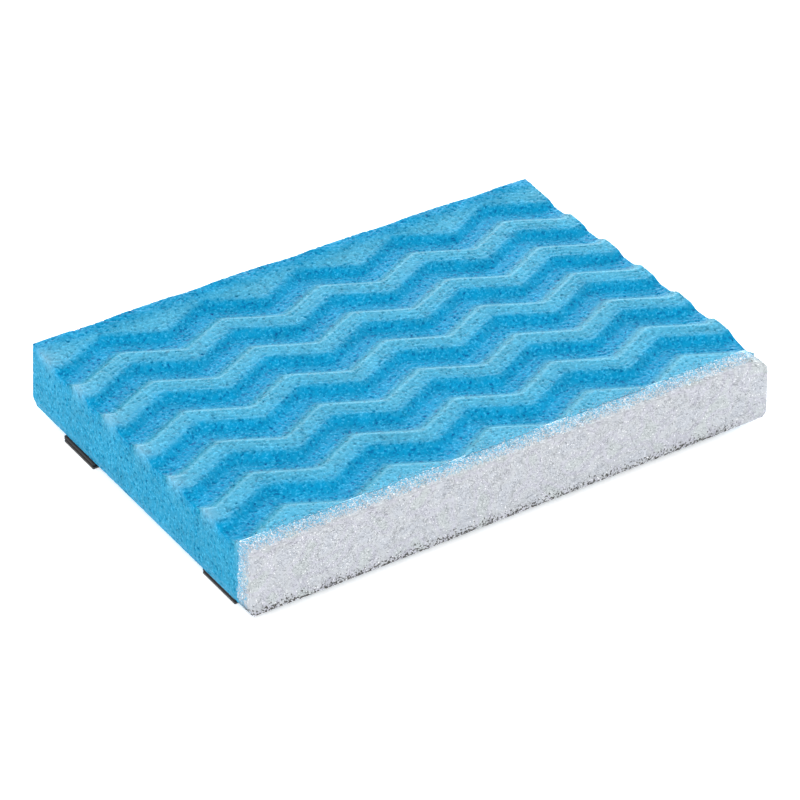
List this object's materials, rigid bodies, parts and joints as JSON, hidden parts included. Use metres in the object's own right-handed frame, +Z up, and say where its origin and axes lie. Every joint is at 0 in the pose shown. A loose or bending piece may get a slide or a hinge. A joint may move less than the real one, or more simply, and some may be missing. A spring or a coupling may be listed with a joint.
{
  "type": "sponge filter pad",
  "caption": "Flat rectangular blue foam filter pad with zigzag ridges on top, a coarse white foam strip along one long edge and black hook-and-loop tapes underneath.",
  "frame": {"origin": "centre of the pad's outline, on the surface that the tapes rest on", "axes": "+X along the long edge, -Y towards the coarse white strip, +Z up through the ridged face"},
  "size_m": [0.245, 0.1694, 0.0334],
  "materials": {
    "blue_foam": "matte",
    "white_foam": "matte",
    "clear_glue": "satin",
    "loop_pile": "matte",
    "hook_tape": "satin"
  },
  "bodies": {
    "root": {"foam_pad": "blue_foam", "coarse_strip": "white_foam", "bond_film": "clear_glue", "rear_tape_adhesive": "clear_glue", "rear_loop_tape": "loop_pile", "rear_hook_tape": "hook_tape", "front_tape_adhesive": "clear_glue", "front_loop_tape": "loop_pile", "front_hook_tape": "hook_tape"}
  },
  "joints": []
}
